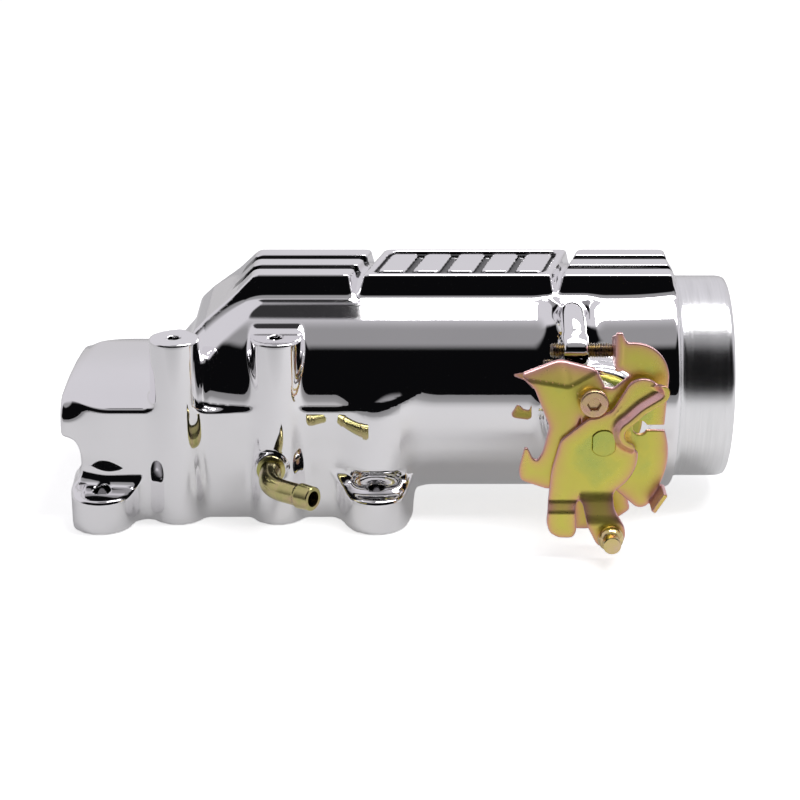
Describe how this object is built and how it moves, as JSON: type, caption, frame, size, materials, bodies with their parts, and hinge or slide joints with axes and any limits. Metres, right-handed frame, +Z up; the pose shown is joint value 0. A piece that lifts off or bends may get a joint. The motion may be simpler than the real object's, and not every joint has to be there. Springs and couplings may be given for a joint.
{
  "type": "throttle body",
  "caption": "Elbow throttle body: polished cast duct with a butterfly valve, stamped throttle lever with spring and idle stop, and a flanged plenum foot.",
  "frame": {"origin": "centre of the four manifold bolt holes, on the flange's bottom face", "axes": "+X along the duct towards the air inlet, +Z up away from the manifold, -Y towards the throttle lever"},
  "size_m": [0.268, 0.1548, 0.095],
  "materials": {
    "polished_aluminium": "mirror polished cast aluminium",
    "bronze": "satin sintered bronze",
    "seal_rubber": "matt",
    "nylon": "matt",
    "spring_steel": "bright",
    "zinc_gold": "yellow zinc plate",
    "steel": "machined",
    "brass": "rolled sheet",
    "zinc_yellow": "yellow passivated zinc plate",
    "zinc_black": "black zinc plate"
  },
  "bodies": {
    "housing": {"body_casting": "polished_aluminium", "shaft_bearing_lever_side": "bronze", "shaft_bearing_sensor_side": "bronze", "shaft_seal_lever_side": "seal_rubber", "shaft_seal_sensor_side": "seal_rubber", "spring_bush": "nylon", "return_spring": "spring_steel", "vacuum_barb": "zinc_gold", "bypass_plug": "steel"},
    "throttle": {"throttle_shaft": "steel", "throttle_plate": "brass", "plate_screws": "steel", "thrust_washer": "steel", "shaft_retaining_clip": "spring_steel", "spring_arm_plate": "zinc_yellow", "plate_spacer": "zinc_yellow", "rear_quadrant_plate": "zinc_yellow", "side_lever": "zinc_yellow", "lever_plate": "zinc_yellow", "pivot_screw": "zinc_yellow", "pivot_collar": "zinc_yellow", "ball_stud": "zinc_yellow"},
    "stop_screw": {"idle_stop_screw": "zinc_black"}
  },
  "joints": [
    {"name": "throttle_turn", "type": "hinge", "parent": "housing", "child": "throttle", "pos_m": [0.1417, 0, 0.046], "axis": [0, 1, 0], "range_deg": [0, 80], "stiffness_Nm_per_rad": 0.25, "springref_deg": -34.38, "deforming": ["return_spring"]},
    {"name": "idle_screw_travel", "type": "slide", "parent": "housing", "child": "stop_screw", "axis": [1, 0, 0], "range_m": [-0.004, 0]}
  ]
}
